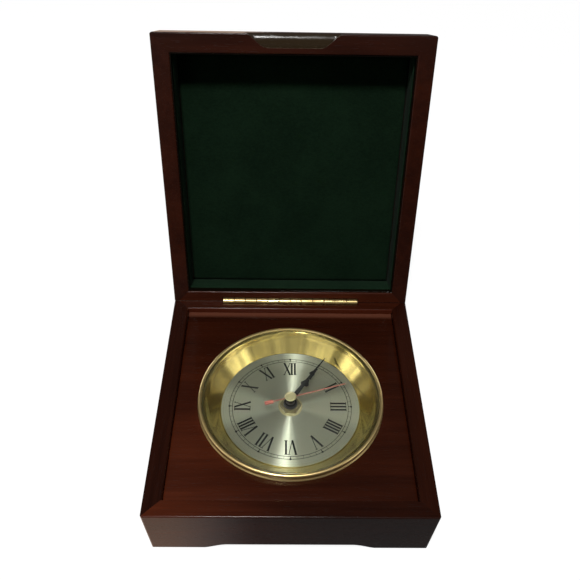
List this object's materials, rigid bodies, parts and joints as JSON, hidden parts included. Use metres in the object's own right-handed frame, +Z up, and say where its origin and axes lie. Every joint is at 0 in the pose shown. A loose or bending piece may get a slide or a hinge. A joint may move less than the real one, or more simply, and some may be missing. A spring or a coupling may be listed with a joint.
{
  "type": "desk clock",
  "caption": "Hinged wooden box clock: felt-lined lid on a barrel hinge, and a brass dial pan under domed glass with spade hands and a quartz movement let into a recessed panel.",
  "frame": {"origin": "on the plane of the feet, under the middle of the open clock's bounding box", "axes": "+X to the right seen from the front, +Y to the back where the open lid leans, +Z up"},
  "size_m": [0.15, 0.2256, 0.1796],
  "materials": {
    "mahogany": "satin red-brown varnish over straight-grained mahogany",
    "inner_wood": "plain planed wood",
    "felt": "dark green felt",
    "brass": "polished",
    "glass": "clear, domed",
    "dial_silver": "circular brushed, with black printed numerals and minute track",
    "hand_black": "gloss black",
    "hand_red": "gloss red",
    "steel": "bright",
    "case_plastic": "black",
    "wheel_plastic": "off-white",
    "rubber": "black",
    "cell_wrap": "plain grey wrap with no writing",
    "winding": "enamelled copper wire",
    "board_green": "green lacquer"
  },
  "bodies": {
    "base": {"base_rail_front": "mahogany", "base_rail_right": "mahogany", "base_rail_back": "mahogany", "base_rail_left": "mahogany", "dial_panel": "mahogany", "panel_cleats": "inner_wood", "corner_blocks": "inner_wood", "base_board": "inner_wood", "board_screws": "steel", "base_felt": "felt", "hinge_leaf_base": "brass", "hinge_pin": "brass", "bezel_ring": "brass", "retaining_ring": "steel", "dial_pan": "brass", "glass": "glass", "dial_plate": "dial_silver", "dial_washer": "brass", "mounting_nut": "brass", "rubber_washer": "rubber", "case_front": "case_plastic", "case_back": "case_plastic", "battery": "cell_wrap", "battery_contacts": "steel", "coil": "winding", "stator": "steel", "circuit_board": "board_green", "quartz_crystal": "steel"},
    "lid": {"lid_rail_front": "mahogany", "lid_rail_right": "mahogany", "lid_rail_back": "mahogany", "lid_rail_left": "mahogany", "lid_top_board": "mahogany", "lid_floor_felt": "felt", "lid_wall_felt": "felt", "hinge_leaf_lid": "brass"},
    "minute_train": {"minute_hand": "hand_black", "minute_arbor": "brass"},
    "minute_wheel_body": {"minute_wheel": "wheel_plastic"},
    "hour_train": {"hour_hand": "hand_black", "hour_wheel": "wheel_plastic"},
    "setting_knob": {"set_knob": "case_plastic"},
    "second_train": {"second_hand": "hand_red", "second_pipe": "brass", "hand_cap": "brass", "seconds_wheel": "wheel_plastic"},
    "intermediate_body": {"intermediate_wheel": "wheel_plastic"},
    "rotor_body": {"rotor": "steel"},
    "third_body": {"third_wheel": "wheel_plastic"},
    "centre_body": {"centre_wheel": "wheel_plastic"}
  },
  "joints": [
    {"name": "lid_hinge", "type": "hinge", "parent": "base", "child": "lid", "pos_m": [0, 0.03821, 0.038], "axis": [1, 0, 0], "range_deg": [0, 110]},
    {"name": "minute_turn", "type": "hinge", "parent": "base", "child": "minute_train", "pos_m": [0, -0.03779, 0.021], "axis": [0, 0, -1], "continuous": true},
    {"name": "minute_wheel_turn", "type": "hinge", "parent": "base", "child": "minute_wheel_body", "pos_m": [-0.00826, -0.04079, 0.021], "axis": [0, 0, -1], "continuous": true},
    {"name": "hour_turn", "type": "hinge", "parent": "base", "child": "hour_train", "pos_m": [0, -0.03779, 0.021], "axis": [0, 0, -1], "continuous": true},
    {"name": "knob_turn", "type": "hinge", "parent": "base", "child": "setting_knob", "pos_m": [-0.01692, -0.03927, 0.021], "axis": [0, 0, -1], "continuous": true},
    {"name": "second_turn", "type": "hinge", "parent": "base", "child": "second_train", "pos_m": [0, -0.03779, 0.021], "axis": [0, 0, -1], "continuous": true},
    {"name": "intermediate_turn", "type": "hinge", "parent": "base", "child": "intermediate_body", "pos_m": [-0.00437, -0.03022, 0.021], "axis": [0, 0, -1], "continuous": true},
    {"name": "rotor_turn", "type": "hinge", "parent": "base", "child": "rotor_body", "pos_m": [-0.00593, -0.02134, 0.021], "axis": [0, 0, -1], "continuous": true},
    {"name": "third_turn", "type": "hinge", "parent": "base", "child": "third_body", "pos_m": [0.00851, -0.03779, 0.021], "axis": [0, 0, -1], "continuous": true},
    {"name": "centre_turn", "type": "hinge", "parent": "base", "child": "centre_body", "pos_m": [0, -0.03779, 0.021], "axis": [0, 0, -1], "continuous": true}
  ],
  "couplings": [
    {"joint": "minute_wheel_turn", "follows": "minute_turn", "ratio": -0.33333},
    {"joint": "hour_turn", "follows": "minute_turn", "ratio": 0.083333},
    {"joint": "knob_turn", "follows": "minute_turn", "ratio": 1},
    {"joint": "intermediate_turn", "follows": "second_turn", "ratio": -6},
    {"joint": "rotor_turn", "follows": "second_turn", "ratio": 30},
    {"joint": "third_turn", "follows": "second_turn", "ratio": -0.13333},
    {"joint": "centre_turn", "follows": "second_turn", "ratio": 0.016667}
  ]
}
